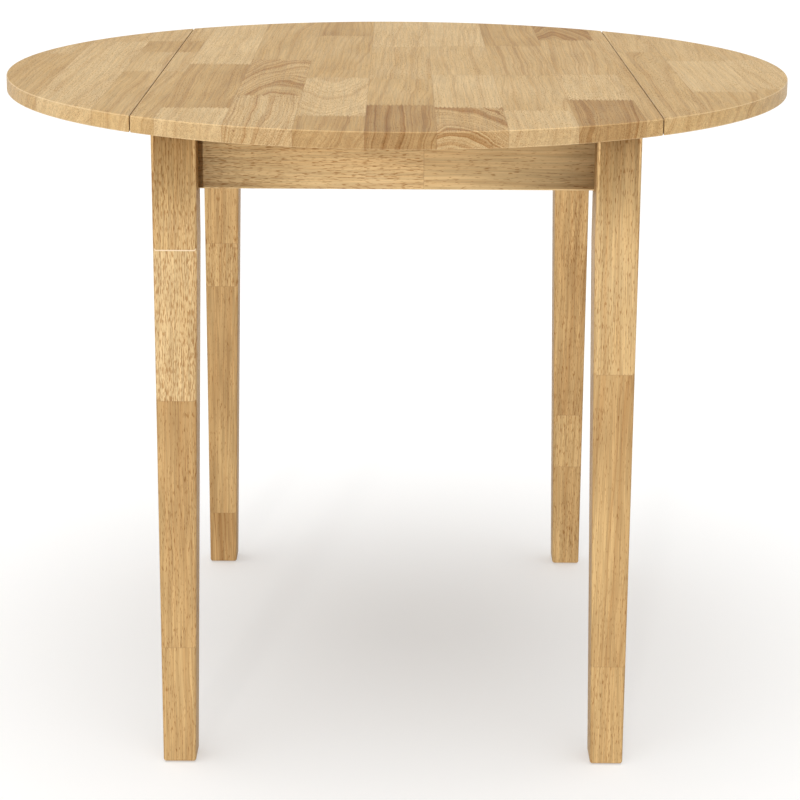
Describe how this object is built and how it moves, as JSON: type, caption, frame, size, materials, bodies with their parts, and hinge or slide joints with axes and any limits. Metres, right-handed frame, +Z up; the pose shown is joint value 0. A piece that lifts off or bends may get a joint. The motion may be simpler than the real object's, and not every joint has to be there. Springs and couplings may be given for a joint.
{
  "type": "drop leaf table",
  "caption": "Round wooden dining table on tapered legs, with fold-down leaves on butt hinges carried by slotted steel stays.",
  "frame": {"origin": "on the floor, under the centre of the top", "axes": "+X across the leaves towards the right leaf, +Y along the hinge lines towards the rear, +Z up"},
  "size_m": [0.914, 0.914, 0.737],
  "materials": {
    "top_wood": "satin clear lacquer on finger-jointed rubberwood staves",
    "frame_wood": "satin clear lacquer on finger-jointed rubberwood",
    "block_wood": "planed, unlacquered rubberwood",
    "hinge_steel": "zinc and yellow passivated, satin",
    "zinc_steel": "bright zinc plate, satin",
    "nylon": "moulded, matte"
  },
  "bodies": {
    "frame": {"centre_top": "top_wood", "right_apron": "frame_wood", "left_apron": "frame_wood", "rear_apron": "frame_wood", "front_apron": "frame_wood", "leg_rear_right": "frame_wood", "leg_rear_left": "frame_wood", "leg_front_right": "frame_wood", "leg_front_left": "frame_wood", "corner_block_rear_right": "block_wood", "corner_block_rear_left": "block_wood", "corner_block_front_right": "block_wood", "corner_block_front_left": "block_wood", "leg_bolt_rear_right": "zinc_steel", "leg_bolt_rear_left": "zinc_steel", "leg_bolt_front_right": "zinc_steel", "leg_bolt_front_left": "zinc_steel", "leg_nut_rear_right": "zinc_steel", "leg_nut_rear_left": "zinc_steel", "leg_nut_front_right": "zinc_steel", "leg_nut_front_left": "zinc_steel", "top_screw_rear_right": "zinc_steel", "top_screw_rear_left": "zinc_steel", "top_screw_front_right": "zinc_steel", "top_screw_front_left": "zinc_steel", "glide_rear_right": "nylon", "glide_rear_left": "nylon", "glide_front_right": "nylon", "glide_front_left": "nylon", "hinge_fixed_plate_rear_right": "hinge_steel", "hinge_fixed_plate_rear_left": "hinge_steel", "hinge_fixed_plate_front_right": "hinge_steel", "hinge_fixed_plate_front_left": "hinge_steel", "hinge_pin_rear_right": "hinge_steel", "hinge_pin_rear_left": "hinge_steel", "hinge_pin_front_right": "hinge_steel", "hinge_pin_front_left": "hinge_steel", "stay_bracket_rear_right": "zinc_steel", "stay_bracket_rear_left": "zinc_steel", "stay_bracket_front_right": "zinc_steel", "stay_bracket_front_left": "zinc_steel", "stay_rivet_rear_right": "zinc_steel", "stay_rivet_rear_left": "zinc_steel", "stay_rivet_front_right": "zinc_steel", "stay_rivet_front_left": "zinc_steel"},
    "right_leaf": {"right_leaf": "top_wood", "hinge_moving_plate_rear_right": "hinge_steel", "hinge_moving_plate_front_right": "hinge_steel", "stay_track_rear_right": "zinc_steel", "stay_track_front_right": "zinc_steel"},
    "left_leaf": {"left_leaf": "top_wood", "hinge_moving_plate_rear_left": "hinge_steel", "hinge_moving_plate_front_left": "hinge_steel", "stay_track_rear_left": "zinc_steel", "stay_track_front_left": "zinc_steel"},
    "strut_rear_right": {"stay_strut_rear_right": "zinc_steel"},
    "strut_rear_left": {"stay_strut_rear_left": "zinc_steel"},
    "strut_front_right": {"stay_strut_front_right": "zinc_steel"},
    "strut_front_left": {"stay_strut_front_left": "zinc_steel"}
  },
  "joints": [
    {"name": "right_leaf_drop", "type": "hinge", "parent": "frame", "child": "right_leaf", "pos_m": [0.2745, 0, 0.716], "axis": [0, 1, 0], "range_deg": [0, 90]},
    {"name": "stay_rear_right_swing", "type": "hinge", "parent": "frame", "child": "strut_rear_right", "pos_m": [0.2525, 0, 0.694], "axis": [0, 1, 0], "range_deg": [0, 90]},
    {"name": "stay_front_right_swing", "type": "hinge", "parent": "frame", "child": "strut_front_right", "pos_m": [0.2525, 0, 0.694], "axis": [0, 1, 0], "range_deg": [0, 90]},
    {"name": "left_leaf_drop", "type": "hinge", "parent": "frame", "child": "left_leaf", "pos_m": [-0.2745, 0, 0.716], "axis": [0, -1, 0], "range_deg": [0, 90]},
    {"name": "stay_rear_left_swing", "type": "hinge", "parent": "frame", "child": "strut_rear_left", "pos_m": [-0.2525, 0, 0.694], "axis": [0, -1, 0], "range_deg": [0, 90]},
    {"name": "stay_front_left_swing", "type": "hinge", "parent": "frame", "child": "strut_front_left", "pos_m": [-0.2525, 0, 0.694], "axis": [0, -1, 0], "range_deg": [0, 90]}
  ],
  "couplings": [
    {"joint": "stay_rear_right_swing", "follows": "right_leaf_drop", "ratio": 1},
    {"joint": "stay_front_right_swing", "follows": "right_leaf_drop", "ratio": 1},
    {"joint": "stay_rear_left_swing", "follows": "left_leaf_drop", "ratio": 1},
    {"joint": "stay_front_left_swing", "follows": "left_leaf_drop", "ratio": 1}
  ]
}
